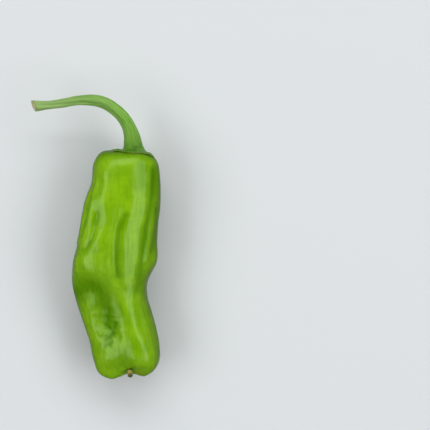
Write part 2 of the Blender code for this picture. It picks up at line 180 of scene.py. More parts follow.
pod = {
    "columns": 300,
    "rows": 300,
    "crowding": 0.35,  # how much closer the columns stand on the crown
    "squareness": 2.25,  # of the belly; 2 is an ellipse, and less makes the crest sharper
    # left x, y; right x, y; crown x, y, z; belly y, z; squareness left and right of the crown
    "stations": [
        (5.2, 34.4, 5.2, 34.4, 5.2, 34.4, 12.2, 34.4, 12.2, 2.25, 2.25),
        (2.0, 34.8, 8.4, 34.2, 5.1, 34.5, 15.4, 34.5, 9.0, 2.25, 2.25),
        (-1.8, 35.1, 11.0, 33.5, 4.5, 34.1, 18.2, 34.1, 6.4, 2.25, 2.25),
        (-5.3, 34.2, 12.7, 31.9, 3.4, 32.5, 20.3, 32.5, 4.2, 2.25, 2.25),
        (-7.5, 30.6, 13.5, 29.2, 2.2, 29.0, 21.5, 29.4, 2.2, 2.25, 2.25),
        (-8.2, 25.0, 13.9, 23.6, 1.0, 23.2, 22.2, 23.6, 1.0, 2.25, 2.25),
        (-10.2, 18.6, 13.8, 18.0, -0.1, 17.6, 22.6, 17.6, 0.2, 2.6, 2.25),
        (-11.7, 11.4, 13.2, 11.4, -1.0, 11.0, 23.0, 11.2, -0.3, 2.5, 2.25),
        (-12.8, 5.0, 12.9, 5.6, -1.4, 5.0, 23.2, 5.0, -0.6, 2.6, 2.25),
        (-14.2, -1.4, 12.7, -0.6, -1.2, -0.8, 22.6, -1.2, -0.6, 2.8, 2.15),
        (-14.4, -7.2, 9.7, -6.6, 0.4, -6.6, 21.2, -7.0, -0.5, 2.8, 2.1),
        (-13.3, -12.8, 9.6, -12.6, 2.0, -12.4, 19.9, -12.8, -0.1, 2.5, 1.65),
        (-11.3, -19.2, 11.6, -18.8, 4.3, -18.2, 19.7, -19.0, 0.4, 2.35, 1.45),
        (-9.1, -25.8, 13.3, -25.6, 6.2, -24.2, 19.8, -25.8, 0.8, 2.3, 1.45),
        (-7.6, -32.2, 13.7, -31.4, 6.4, -29.4, 19.3, -31.4, 2.2, 2.25, 2.0),
        (-5.9, -36.3, 12.2, -35.0, 6.4, -32.6, 18.3, -35.0, 5.0, 2.25, 2.2),
        (-2.2, -38.1, 9.1, -36.9, 6.6, -34.1, 16.9, -36.4, 8.6, 2.25, 2.1),
        (1.0, -37.4, 6.8, -36.5, 4.9, -34.6, 15.8, -36.6, 11.2, 2.25, 2.25),
        (2.7, -36.3, 5.6, -35.9, 4.2, -34.6, 15.2, -36.2, 13.0, 2.25, 2.25),
        (4.1, -34.9, 4.1, -34.9, 4.1, -34.9, 14.6, -34.9, 14.6, 2.25, 2.25),
    ],
    # side (1 crown, -1 belly), height, half width, depth of green that paints shade in the hollows (below
    # 0, paler: a painted highlight on the ridge), route from above
    "folds": [
        # keel, lower on its way to the right lobe
        (1, 0.27, 1.0, -0.1, [
            (0.7, 16.0), (-0.3, 11.8), (-1.0, 8.3), (-1.1, 3.2), (-1.1, -0.6), (-0.6, -4.8), (0.3, -7.9),
        ]),
        (1, 0.08, 0.9, -0.1, [
            (0.3, -7.9), (2.2, -10.8), (3.2, -15.0), (5.1, -20.2), (6.7, -24.6), (7.9, -27.4),
        ]),
        # furrow beside it, its deeper green floor, partly its own green and partly painted shade, and the
        # edge of the broad facet
        (1, -0.15, 1.1, 0.0, [
            (3.4, 15.0), (1.9, 12.0), (0.9, 9.0), (0.5, 6.0), (0.4, 1.0), (0.5, -3.2), (0.8, -5.6),
        ]),
        (1, 0.0, 1.2, 0.65, [(3.4, 14.4), (1.8, 11.0), (1.0, 8.0), (0.6, 3.2), (0.6, -1.6), (0.8, -4.6)]),
        (1, 0.25, 1.4, 0.0, [
            (6.0, 20.0), (4.8, 15.0), (3.5, 11.5), (2.7, 8.0), (2.5, 4.0), (2.4, 0.0), (2.5, -4.0),
            (2.7, -7.0),
        ]),
        # fan of folds on the left flank
        (1, -0.2, 1.0, 0.28, [
            (-6.4, 15.0), (-7.0, 11.4), (-7.4, 8.3), (-9.0, 4.8), (-10.4, 3.2), (-11.8, 2.0),
        ]),
        (1, -0.6, 2.8, 0.0, [(-6.2, 14.0), (-7.2, 10.4), (-8.4, 7.4), (-9.8, 4.6)]),
        (1, 0.15, 1.2, -0.1, [
            (-2.0, 13.6), (-2.6, 11.6), (-4.2, 9.0), (-6.4, 6.0), (-8.3, 2.9), (-9.8, 0.4),
        ]),
        (1, 0.3, 0.9, -0.1, [(-7.4, 14.4), (-8.0, 11.2), (-9.2, 7.4), (-11.0, 4.6)]),
        (1, 0.25, 0.7, -0.1, [
            (-5.8, 24.3), (-7.0, 20.5), (-7.8, 17.3), (-8.6, 14.1), (-9.4, 10.9), (-10.8, 7.0),
        ]),
        (1, 0.25, 0.6, -0.1, [(-8.6, 21.6), (-9.9, 17.0), (-10.6, 13.4), (-11.4, 9.6), (-12.4, 5.4)]),
        (1, -0.2, 0.6, 0.3, [(-8.0, 19.6), (-9.2, 15.2), (-9.9, 11.8), (-11.2, 7.6)]),
        (1, -0.12, 1.2, 0.2, [(-4.6, 25.0), (-5.2, 20.0), (-5.6, 15.6), (-6.2, 12.4)]),
        (1, 0.1, 1.8, -0.1, [(-3.4, 29.0), (-3.4, 22.0), (-3.0, 16.0)]),
        (1, 0.25, 0.8, -0.1, [(-11.6, 2.4), (-12.1, -0.4), (-12.4, -3.2)]),
        # dent below the bend and its deeper green, painted as its shade, and the flat side below it with
        # its puckers
        (1, -0.45, 3.4, 0.0, [(-8.6, -9.2), (-5.6, -11.6), (-3.9, -15.0), (-3.0, -20.0)]),
        (1, -0.4, 3.4, 0.0, [(-7.6, -9.9), (-5.6, -11.6), (-4.6, -13.2)]),
        (1, 0.0, 3.7, 0.68, [
            (-12.8, -10.4), (-8.4, -8.0), (-5.6, -10.2), (-3.8, -13.2), (-2.6, -16.2), (-2.8, -18.4),
        ]),
        (1, -1.3, 4.4, 0.0, [(-4.4, -19.0), (-3.2, -24.0), (-1.6, -29.0)]),
        (1, -0.1, 0.8, 0.5, [(-0.4, -20.0), (-1.0, -23.0)]),
        (1, -0.1, 0.7, 0.5, [(-3.8, -20.6), (-2.2, -21.8)]),
        (1, -0.1, 0.8, 0.55, [(-1.6, -23.6), (-3.6, -25.2)]),
        (1, -0.1, 0.7, 0.5, [(-1.8, -26.2), (-3.8, -27.2)]),
        # blossom end: the hollow above the notch, the left lobe, the valley and the right lobe
        (1, -1.0, 3.0, 0.0, [(-3.4, -35.4), (0.4, -34.6)]),
        (1, 0.4, 3.2, 0.0, [(-2.4, -29.0), (0.2, -28.6)]),
        (1, -0.25, 2.2, 0.3, [(3.0, -30.6), (4.0, -34.8)]),
        (1, 0.55, 2.8, 0.0, [(6.6, -31.4), (7.4, -34.0)]),
        # shoulder of the broad facet, and the furrow, deeper green painted as shade, and small folds of the
        # right flank
        (1, 0.25, 1.6, 0.0, [(10.2, 27.4), (10.2, 22.4), (9.4, 15.4), (8.0, 8.3), (7.1, 1.0), (6.2, -5.0)]),
        (1, -0.3, 1.2, 0.5, [
            (11.8, 28.8), (11.7, 22.4), (11.2, 19.2), (10.6, 14.4), (9.4, 9.6), (8.8, 4.8), (8.2, 0.0),
            (7.7, -4.8), (7.2, -9.6),
        ]),
        (1, 0.0, 2.4, 0.35, [(13.0, 28.0), (13.0, 18.0), (11.6, 9.6), (10.6, 4.0)]),
        (1, 0.0, 1.6, 0.35, [(8.2, 30.0), (8.6, 24.0)]),
        (1, 0.25, 0.7, -0.1, [(11.9, 18.4), (11.6, 14.4), (11.2, 10.0), (10.2, 4.0), (9.6, 0.0)]),
        (1, -0.2, 0.7, 0.3, [(12.9, 16.0), (12.6, 9.0), (11.8, 3.0)]),
        # belly: two furrows, two ridges, a dent near the tip and a dip under the shoulder
        (-1, -0.6, 1.7, 0.4, [
            (-1.0, 31.0), (-4.0, 22.0), (-6.6, 12.0), (-8.4, 2.0), (-8.0, -10.0), (-5.0, -22.0),
            (-0.6, -33.0),
        ]),
        (-1, -0.6, 1.7, 0.4, [
            (8.6, 30.0), (9.4, 20.0), (8.6, 8.0), (7.0, -4.0), (7.2, -16.0), (8.4, -27.0),
        ]),
        (-1, 0.45, 1.6, 0.0, [(-4.6, 27.0), (-8.0, 14.0), (-11.0, 2.0), (-10.4, -10.0), (-7.4, -22.0)]),
        (-1, 0.4, 1.6, 0.0, [(12.0, 24.0), (11.6, 10.0), (10.0, -2.0), (9.6, -14.0), (11.0, -26.0)]),
        (-1, -0.6, 2.8, 0.3, [(1.6, -22.0), (3.0, -27.0)]),
        (-1, -0.4, 2.6, 0.2, [(4.0, 28.0), (4.8, 31.0)]),
    ],
    "routeSteps": 6,  # between two points of a route
    "foldsBetween": (0.05, 0.96),  # shares of the length outside which the folds fade out
    "sideFade": (-0.2, 0.3),  # uprightness of the skin over which a fold fades in on its side
    "stretch": {"Lump": (1, 1.6, 1), "Crease": (1, 8.0, 1), "Ripple": (4, 1, 4), "Pucker": (1.5, 1, 1.5)},
    "puckerAt": (-2.4, -22.0, 17.0),  # mm, where the flat side is puckered
    "puckerReach": (9.0, 3.5),  # mm from there, where puckers start and where they are full
    "seedSpacing": 7.3,  # gives each seed its own place in the noise
    "sizes": {
        "Fold Strength": 1.0,
        "Lump Height": 0.15 * mm,
        "Lump Size": 6.0 * mm,
        "Crease Height": 0.055 * mm,
        "Crease Size": 2.0 * mm,
        "Ripple Height": 0.016 * mm,
        "Ripple Size": 0.7 * mm,
        "Pucker Height": 0.24 * mm,
        "Pucker Size": 2.3 * mm,
        "Seed": 4,
    },
}


def rounded(wave, squareness):  # a cosine or sine made squarer
    return np.sign(wave) * np.abs(wave) ** (2 / squareness)


def podForm(share, angle):  # the pod without folds; share runs from stem to blossom end
    rows = smoothCurve(pod["stations"], evenly(pod["stations"], share))
    leftX, leftY, rightX, rightY = rows[:, :4].T
    crownX, crownY, crownZ, bellyY, bellyZ, leftSquare, rightSquare = rows[:, 4:].T
    onRight, onCrown = np.cos(angle) > 0, np.sin(angle) > 0
    square = np.where(onCrown, np.where(onRight, rightSquare, leftSquare), pod["squareness"])
    across, up = rounded(np.cos(angle), square), rounded(np.sin(angle), square)
    edgeY = np.where(onRight, rightY, leftY)
    ridgeY = np.where(onCrown, crownY, bellyY)
    middle = (leftX + rightX) / 2
    lean = (crownX - middle) * np.where(onCrown, np.sin(angle) ** 2, 0)
    x = middle + across * (rightX - leftX) / 2 + lean
    y = ridgeY + (edgeY - ridgeY) * np.cos(angle) ** 2
    z = (crownZ + bellyZ) / 2 + up * (crownZ - bellyZ) / 2
    return np.column_stack([x, y, z])


def podOutward(share, angle):  # the smooth pod's normals
    step = 2e-3  # both along the length and round the ring
    share = np.clip(share, 2 * step, 1 - 2 * step)
    along = podForm(share + step, angle) - podForm(share - step, angle)
    around = podForm(share, angle + step) - podForm(share, angle - step)
    normal = np.cross(around, along)
    return normal / np.linalg.norm(normal, axis=1)[:, None]


def podBlank():
    angle = np.arange(pod["columns"]) * tau / pod["columns"]
    angle = angle + pod["crowding"] * np.cos(angle)
    share = np.linspace(0, 1, pod["rows"] + 1)
    grid = podForm(np.repeat(share, len(angle)), np.tile(angle, len(share)))
    grid = grid.reshape(len(share), len(angle), 3)
    first, last = pod["foldsBetween"]
    fade = smoothStep(0, first, share) * smoothStep(1, last, share)
    return closedSkin(
        "pod_visual", grid[0, 0], grid[1:-1], grid[-1, 0],
        upward=np.tile(rounded(np.sin(angle), pod["squareness"]), (len(share), 1)),
        foldFade=np.tile(fade[:, None], (1, len(angle))),
    )


def foldRoutes():  # all routes in one wire on the floor, marked with their fold's number and sizes
    points, edges, marks = [], [], {"fold": [], "side": [], "rise": [], "halfWidth": [], "green": []}
    for number, (side, rise, halfWidth, green, route) in enumerate(pod["folds"]):
        stretches = len(route) - 1
        path = smoothCurve(route, np.linspace(0, stretches, pod["routeSteps"] * stretches + 1)) * mm
        edges += [(len(points) + i, len(points) + i + 1) for i in range(len(path) - 1)]
        points += [(x, y, 0) for x, y in path]
        for mark, value in zip(marks, (number, side, rise * mm, halfWidth * mm, green)):
            marks[mark] += [value] * len(path)
    mesh = bpy.data.meshes.new("foldRoutes")
    mesh.from_pydata(points, edges, [])
    for mark, values in marks.items():
        mesh.attributes.new(mark, "FLOAT", "POINT").data.foreach_set("value", values)
    wires = bpy.data.objects.new("foldRoutes", mesh)
    bpy.context.scene.collection.objects.link(wires)
    return wires


def podTree(wires, material):
    tree, size = newTree("podFolds", pod["sizes"])
    routes = addNode(tree, "GeometryNodeObjectInfo", {}, {"Object": wires}).outputs["Geometry"]
    place = addNode(tree, "GeometryNodeInputPosition").outputs[0]
    plan = addNode(tree, "ShaderNodeVectorMath", {"operation": "MULTIPLY"}, {
        0: place, 1: (1, 1, 0)}).outputs[0]
    mark = {
        name: addNode(tree, "GeometryNodeInputNamedAttribute", {}, {"Name": name}).outputs["Attribute"]
        for name in (
            "fold", "side", "rise", "halfWidth", "green",  # of a route
            "upward", "foldFade", "foldHeight", "deepGreen",  # of the skin
        )
    }
    start = size["Geometry"]
    for name in ("foldHeight", "deepGreen"):
        start = addNode(tree, "GeometryNodeStoreNamedAttribute", {}, {
            "Geometry": start, "Name": name, "Value": 0.0}).outputs[0]

    # each turn of the loop adds one fold: a bell of its height and half width along its route
    loopIn = addNode(tree, "GeometryNodeRepeatInput", {}, {"Iterations": len(pod["folds"])})
    loopOut = addNode(tree, "GeometryNodeRepeatOutput")
    loopIn.pair_with_output(loopOut)
    tree.links.new(start, loopIn.inputs["Geometry"])
    chosen = addNode(tree, "FunctionNodeCompare", {"operation": "EQUAL"}, {
        "A": mark["fold"], "B": loopIn.outputs["Iteration"], "Epsilon": 0.1}).outputs[0]
    route = addNode(tree, "GeometryNodeSeparateGeometry", {}, {
        "Geometry": routes, "Selection": chosen}).outputs["Selection"]
    fold = {
        name: addNode(tree, "GeometryNodeAttributeStatistic", {}, {
            "Geometry": route, "Attribute": mark[name]}).outputs["Mean"]
        for name in ("side", "rise", "halfWidth", "green")
    }
    off = addNode(tree, "GeometryNodeProximity", {"target_element": "EDGES"}, {
        "Geometry": route, "Sample Position": plan}).outputs["Distance"]
    ratio = addNode(tree, "ShaderNodeMath", {"operation": "DIVIDE"}, {
        0: off, 1: fold["halfWidth"]}).outputs[0]
    square = addNode(tree, "ShaderNodeMath", {"operation": "MULTIPLY"}, {0: ratio, 1: ratio}).outputs[0]
    minus = addNode(tree, "ShaderNodeMath", {"operation": "MULTIPLY"}, {0: square, 1: -1.0}).outputs[0]
    bell = addNode(tree, "ShaderNodeMath", {"operation": "EXPONENT"}, {0: minus}).outputs[0]
    facing = addNode(tree, "ShaderNodeMath", {"operation": "MULTIPLY"}, {
        0: mark["upward"], 1: fold["side"]}).outputs[0]
    none, full = pod["sideFade"]
    onSide = addNode(tree, "ShaderNodeMapRange", {"interpolation_type": "SMOOTHSTEP"}, {
        "Value": facing, "From Min": none, "From Max": full}).outputs[0]
    shown = addNode(tree, "ShaderNodeMath", {"operation": "MULTIPLY"}, {0: bell, 1: onSide}).outputs[0]
    stored = loopIn.outputs["Geometry"]
    # the fold's height, and its depth of green, which paints shade in the hollows and, below 0, a paler
    # highlight on the ridges
    for name, amount in (("foldHeight", "rise"), ("deepGreen", "green")):
        total = addNode(tree, "ShaderNodeMath", {"operation": "MULTIPLY_ADD"}, {
            0: shown, 1: fold[amount], 2: mark[name]}).outputs[0]
        stored = addNode(tree, "GeometryNodeStoreNamedAttribute", {}, {
            "Geometry": stored, "Name": name, "Value": total}).outputs[0]
    tree.links.new(stored, loopOut.inputs["Geometry"])
    strong = addNode(tree, "ShaderNodeMath", {"operation": "MULTIPLY"}, {
        0: mark["foldHeight"], 1: size["Fold Strength"]}).outputs[0]
    faded = addNode(tree, "ShaderNodeMath", {"operation": "MULTIPLY"}, {
        0: strong, 1: mark["foldFade"]}).outputs[0]
    folded = raiseSkin(tree, loopOut.outputs["Geometry"], faded)

    # round lumps, creases that run along the pod, ripples across it, and puckers on its flat side
    seed = addNode(tree, "ShaderNodeMath", {"operation": "MULTIPLY"}, {
        0: size["Seed"], 1: pod["seedSpacing"]}).outputs[0]
    offPucker = addNode(tree, "ShaderNodeVectorMath", {"operation": "DISTANCE"}, {
        0: place, 1: [v * mm for v in pod["puckerAt"]]}).outputs["Value"]
    none, full = pod["puckerReach"]
    puckered = addNode(tree, "ShaderNodeMapRange", {"interpolation_type": "SMOOTHSTEP"}, {
        "Value": offPucker, "From Min": none * mm, "From Max": full * mm}).outputs[0]
    wrinkle = 0.0
    for kind, where in (("Lump", 1.0), ("Crease", 1.0), ("Ripple", 1.0), ("Pucker", puckered)):
        cells = addNode(tree, "ShaderNodeVectorMath", {"operation": "DIVIDE"}, {
            0: place, 1: pod["stretch"][kind]}).outputs[0]
        noise = signedNoise(tree, cells, seed, size[f"{kind} Size"], 1.5, 0.45)
        masked = addNode(tree, "ShaderNodeMath", {"operation": "MULTIPLY"}, {0: noise, 1: where}).outputs[0]
        wrinkle = addNode(tree, "ShaderNodeMath", {"operation": "MULTIPLY_ADD"}, {
            0: masked, 1: size[f"{kind} Height"], 2: wrinkle}).outputs[0]
    soft = addNode(tree, "ShaderNodeMath", {"operation": "MULTIPLY"}, {
        0: wrinkle, 1: mark["foldFade"]}).outputs[0]
    wrinkled = raiseSkin(tree, folded, soft)

    # the belly settles flat where it rests
    parts = addNode(tree, "ShaderNodeSeparateXYZ", {}, {0: place}).outputs
    above = addNode(tree, "ShaderNodeMath", {"operation": "MAXIMUM"}, {0: parts["Z"], 1: 0.0}).outputs[0]
    resting = addNode(tree, "ShaderNodeCombineXYZ", {}, {
        "X": parts["X"], "Y": parts["Y"], "Z": above}).outputs[0]
    settled = addNode(tree, "GeometryNodeSetPosition", {}, {
        "Geometry": wrinkled, "Position": resting}).outputs[0]
    endTree(tree, settled, material)
    return tree


def waxyPodSkin():  # a pepper's cuticle: thin wax over green flesh gives soft-edged, bright highlights
    skin = {
        "fresh": "#7db005",
        "sunny": "#8abc0a",
        "deep": "#4a8000",
        # the colour of the painted shade on the flanks
        "shade": "#40580c",
        "blush": "#8a6a18",
        "mottleSize": 5.0,  # mm, as the sizes below
        "streakWidth": 0.9,
        "streakStretch": 12.0,  # length of a streak over its width
        "poreSize": 0.35,  # the real ones are finer, too fine to show
        "poreDepth": 0.02,
        "blushAt": (7.6, -35.6, 13.5),  # where the right lobe begins to ripen
        "blushSize": (2.6, 1.0, 3.0),
        # masks: the two ends of what each one reads, and what it gives there
        "sunlit": (0.4, 0.62, 0.0, 1.0),  # mottle
        "shoulder": (30.5, 34.5, 0.0, 0.6),  # mm along the pod
        "tipward": (14.0, -34.0, 0.0, 0.2),
        "streaky": (0.5, 0.75, 0.0, 0.3),  # streaks
        "flecked": (0.35, 0.6, 1.05, 0.88),
        "side": (0.75, 0.05, 0.0, 0.85),  # uprightness of the skin: painted shade that darkens the flanks as they turn down
        "ripening": (1.2, 0.3, 0.0, 0.75),  # distance from the blush, over its size
        "patchy": (0.3, 0.7, 0.14, 0.24),  # mottle, for the roughness
        "sheen": (0.14, 0.45, 0.5, 0.03),  # how far the skin turns away
        "sheltered": (0.1, 0.8, 1.0, 0.2),  # depth of green and painted shade in the folds
        "surface": {
            "IOR": 1.46,  # plant wax
            "Specular Tint": (0.84, 1.0, 0.64, 1),  # keeps the highlights greenish
            "Subsurface Weight": 0.12,
            "Subsurface Radius": (0.5, 1.0, 0.15),
            "Subsurface Scale": 1.2 * mm,
        },
    }
    material = bpy.data.materials.new("waxyPodSkin")
    material.use_nodes = True
    tree = material.node_tree
    shader = tree.nodes["Principled BSDF"]
    place = addNode(tree, "ShaderNodeTexCoord").outputs
    inMm = addNode(tree, "ShaderNodeVectorMath", {"operation": "SCALE"}, {
        0: place["Object"], "Scale": 1 / mm}).outputs[0]
    along = addNode(tree, "ShaderNodeSeparateXYZ", {}, {0: inMm}).outputs["Y"]
    upward = addNode(tree, "ShaderNodeSeparateXYZ", {}, {0: place["Normal"]}).outputs["Z"]
    inFold = addNode(tree, "ShaderNodeAttribute", {"attribute_name": "deepGreen"}).outputs["Fac"]
    grazing = addNode(tree, "ShaderNodeLayerWeight", {}, {"Blend": 0.5}).outputs["Facing"]
    mottle = addNode(tree, "ShaderNodeTexNoise", {}, {
        "Vector": inMm, "Scale": 1 / skin["mottleSize"], "Detail": 3.0, "Roughness": 0.55}).outputs[0]
    grain = 1 / skin["streakWidth"]
    drawn = addNode(tree, "ShaderNodeVectorMath", {"operation": "MULTIPLY"}, {
        0: inMm, 1: (grain, grain / skin["streakStretch"], grain)}).outputs[0]
    streaks = addNode(tree, "ShaderNodeTexNoise", {}, {
        "Vector": drawn, "Scale": 1.0, "Detail": 3.0, "Roughness": 0.6}).outputs[0]
    away = addNode(tree, "ShaderNodeVectorMath", {"operation": "SUBTRACT"}, {
        0: inMm, 1: skin["blushAt"]}).outputs[0]
    oval = addNode(tree, "ShaderNodeVectorMath", {"operation": "DIVIDE"}, {
        0: away, 1: skin["blushSize"]}).outputs[0]
    offBlush = addNode(tree, "ShaderNodeVectorMath", {"operation": "LENGTH"}, {0: oval}).outputs["Value"]
    mask = {}
    for name, value, slope in (
        ("sunlit", mottle, "SMOOTHSTEP"), ("shoulder", along, "SMOOTHSTEP"), ("tipward", along, "LINEAR"),
        ("streaky", streaks, "LINEAR"), ("flecked", streaks, "LINEAR"), ("side", upward, "SMOOTHSTEP"),
        ("ripening", offBlush, "SMOOTHSTEP"), ("patchy", mottle, "LINEAR"),
        ("sheen", grazing, "SMOOTHSTEP"), ("sheltered", inFold, "LINEAR"),
    ):
        low, high, atLow, atHigh = skin[name]
        mask[name] = addNode(tree, "ShaderNodeMapRange", {"interpolation_type": slope}, {
            "Value": value, "From Min": low, "From Max": high,
            "To Min": atLow, "To Max": atHigh}).outputs[0]

    # folds, both ends and streaks are deeper green, in the folds as painted shade and on the ridges paler
    # as a painted highlight; then comes the painted shade of the turned-down sides, and the blush
    ends = addNode(tree, "ShaderNodeMath", {"operation": "ADD"}, {
        0: mask["shoulder"], 1: mask["tipward"]}).outputs[0]
    deeper = addNode(tree, "ShaderNodeMath", {"operation": "ADD"}, {0: inFold, 1: ends}).outputs[0]
    deepest = addNode(tree, "ShaderNodeMath", {"operation": "ADD", "use_clamp": True}, {
        0: deeper, 1: mask["streaky"]}).outputs[0]
    colour = linear(skin["fresh"])
    for share, tint in (
        (mask["sunlit"], "sunny"), (deepest, "deep"), (mask["side"], "shade"), (mask["ripening"], "blush"),
    ):
        colour = addNode(tree, "ShaderNodeMix", {"data_type": "RGBA"}, {
            0: share, 6: colour, 7: linear(skin[tint])}).outputs[2]
    waxed = addNode(tree, "ShaderNodeMath", {"operation": "MULTIPLY"}, {
        0: mask["sheen"], 1: mask["flecked"]}).outputs[0]
    gloss = addNode(tree, "ShaderNodeMath", {"operation": "MULTIPLY"}, {
        0: waxed, 1: mask["sheltered"]}).outputs[0]
    pores = addNode(tree, "ShaderNodeTexVoronoi", {"feature": "SMOOTH_F1"}, {
        "Vector": inMm, "Scale": 1 / skin["poreSize"], "Smoothness": 1.0}).outputs[0]
    bump = addNode(tree, "ShaderNodeBump", {}, {
        "Strength": 0.25, "Distance": skin["poreDepth"] * mm, "Height": pores}).outputs[0]
    for value, socket in (
        (colour, "Base Color"), (mask["patchy"], "Roughness"), (gloss, "Specular IOR Level"),
        (bump, "Normal"),
    ):
        tree.links.new(value, shader.inputs[socket])
    for socket, value in skin["surface"].items():
        shader.inputs[socket].default_value = value
    return material


wires = foldRoutes()
podPiece = podBlank()
runTree(podPiece, podTree(wires, waxyPodSkin()), pod["sizes"])
bpy.data.objects.remove(wires)
finishPiece(podPiece, "pod")


# Stem: the ribbed stem and the calyx that it flares into, one skin from under the cap to the cut end

stem = {
    "columns": 180,
    "step": 0.28,  # mm between rings
    "thickness": 4.0,
    "line": [  # x, y, z and radius over half the thickness, from inside the calyx to the cut end
        (5.3, 34.8, 12.2, 1.62),
        (5.0, 37.0, 12.3, 1.48),
        (4.8, 39.2, 12.5, 1.27),
        (4.0, 42.1, 12.9, 1.04),
        (2.8, 44.5, 13.3, 0.98),
        (1.2, 46.6, 13.7, 0.96),
        (-0.8, 48.4, 14.0, 0.94),
        (-3.1, 49.8, 14.3, 0.92),
        (-5.7, 50.7, 14.5, 0.87),
        (-8.5, 51.0, 14.6, 0.8),
        (-11.6, 50.9, 14.6, 0.74),
        (-14.8, 50.4, 14.5, 0.68),
        (-18.0, 49.9, 14.3, 0.63),
        (-21.2, 49.5, 14.1, 0.61),
        (-23.6, 49.35, 13.9, 0.68),
        (-25.3, 49.3, 13.8, 0.8),
        (-26.5, 49.3, 13.7, 0.83),
    ],
    "flareRise": 3.2,
    "flareFoot": 4.4,
    "calyxWidth": 13.4,
    "calyxDepth": 12.6,
    "calyxShift": 0.1,
    "calyxThickness": 0.55,
    "rimThickness": 0.25,
    # rings of the calyx: first and last place, as a share of the way out, and their number
    "underRings": (0.1, 0.97, 12),
    "rimRings": (0.12, 0.88, 5),  # as a share of the half turn round the rim
    "overRings": (0.95, 0.78, 8),  # it has its full thickness from the last one inwards
    "corkSpread": 2.6,  # rings
    "seatGap": 0.05,
    "seatShare": 0.2,  # of the pod's length, which the calyx ends well within
    "seatSteps": 41,
    "teeth": 6,
    "toothLength": 1.1,
    "toothSharpness": 6,
    "firstTooth": math.radians(20),
    "flareRings": 15,
    "ribsFrom": 0.12,  # share of the stem over which its ribs fade in
    "cutLean": (0.0, -0.35, 0.45),  # slope of the cut across each axis
    "leaningRings": 14,
    "cut": [  # share of the radius and depth, from the rim to the sunken pith
        (0.96, 0.1), (0.88, 0.06), (0.78, -0.1), (0.66, -0.28), (0.5, -0.36), (0.3, -0.38), (0.15, -0.38),
    ],
    "sizes": {
        "Ribs": 5,
        "Rib Height": 0.18 * mm,
        "Twist": math.radians(110),
        "Strands": 23,
        "Strand Height": 0.035 * mm,
        "Lump Height": 0.07 * mm,
        "Lump Size": 3.5 * mm,
        "Seed": 2,
    },
}


def stemRings(angle):
    stations = np.array(stem["line"])
    count = math.ceil(runOf(stations[:, :3])[-1] / stem["step"])
    rows = smoothCurve(stations, evenly(stations[:, :3], np.linspace(0, 1, count + 1)))
    line, radius = rows[:, :3], rows[:, 3] * stem["thickness"] / 2
    ahead = np.gradient(line, axis=0)
    ahead /= np.linalg.norm(ahead, axis=1)[:, None]
    side, rings = np.array([1.0, 0.0, 0.0]), []
    for place, size, direction in zip(line, radius, ahead):
        side = side - direction * (side @ direction)
        side /= np.linalg.norm(side)
        spoke = np.outer(np.cos(angle), side) + np.outer(np.sin(angle), np.cross(side, direction))
        rings.append(place + spoke * size)
    return rings, line


def overPod(distance, height, angle):  # points along the pod's skin from the stem's root, and above it
    trial = np.linspace(0, stem["seatShare"], stem["seatSteps"])
    share = [
        np.interp(run, runOf(podForm(trial, np.full(len(trial), direction))), trial)
        for run, direction in zip(distance, angle)
    ]
    share = np.array(share)
    return podForm(share, angle) + podOutward(share, angle) * np.reshape(height, (-1, 1))


def calyxRings(angle):  # out along the underside, round the rim and back to the stem's foot
    oval = (stem["calyxWidth"] * np.cos(angle) ** 2 + stem["calyxDepth"] * np.sin(angle) ** 2) / 2
    wave = (1 + np.cos(stem["teeth"] * (angle - stem["firstTooth"]))) / 2
    tooth = stem["toothLength"] * wave ** stem["toothSharpness"]
    reach = oval - stem["calyxShift"] * np.cos(angle) + tooth
    gap, rim, full = stem["seatGap"], stem["rimThickness"], stem["calyxThickness"]
    rimFrom, fullFrom = stem["underRings"][1], stem["overRings"][1]
    rings = [overPod(reach * part, [gap], angle) for part in np.linspace(*stem["underRings"])]
    for turn in np.linspace(*stem["rimRings"]) * math.pi:
        out = reach * rimFrom + rim / 2 * math.sin(turn)
        rings.append(overPod(out, [gap + rim / 2 * (1 - math.cos(turn))], angle))
    for part in np.linspace(*stem["overRings"]):
        thicker = (full - rim) * (rimFrom - part) / (rimFrom - fullFrom)
        rings.append(overPod(reach * part, [gap + rim + thicker], angle))
    rings.append(overPod(np.full(len(angle), stem["flareFoot"]), [gap + full], angle))
    return rings


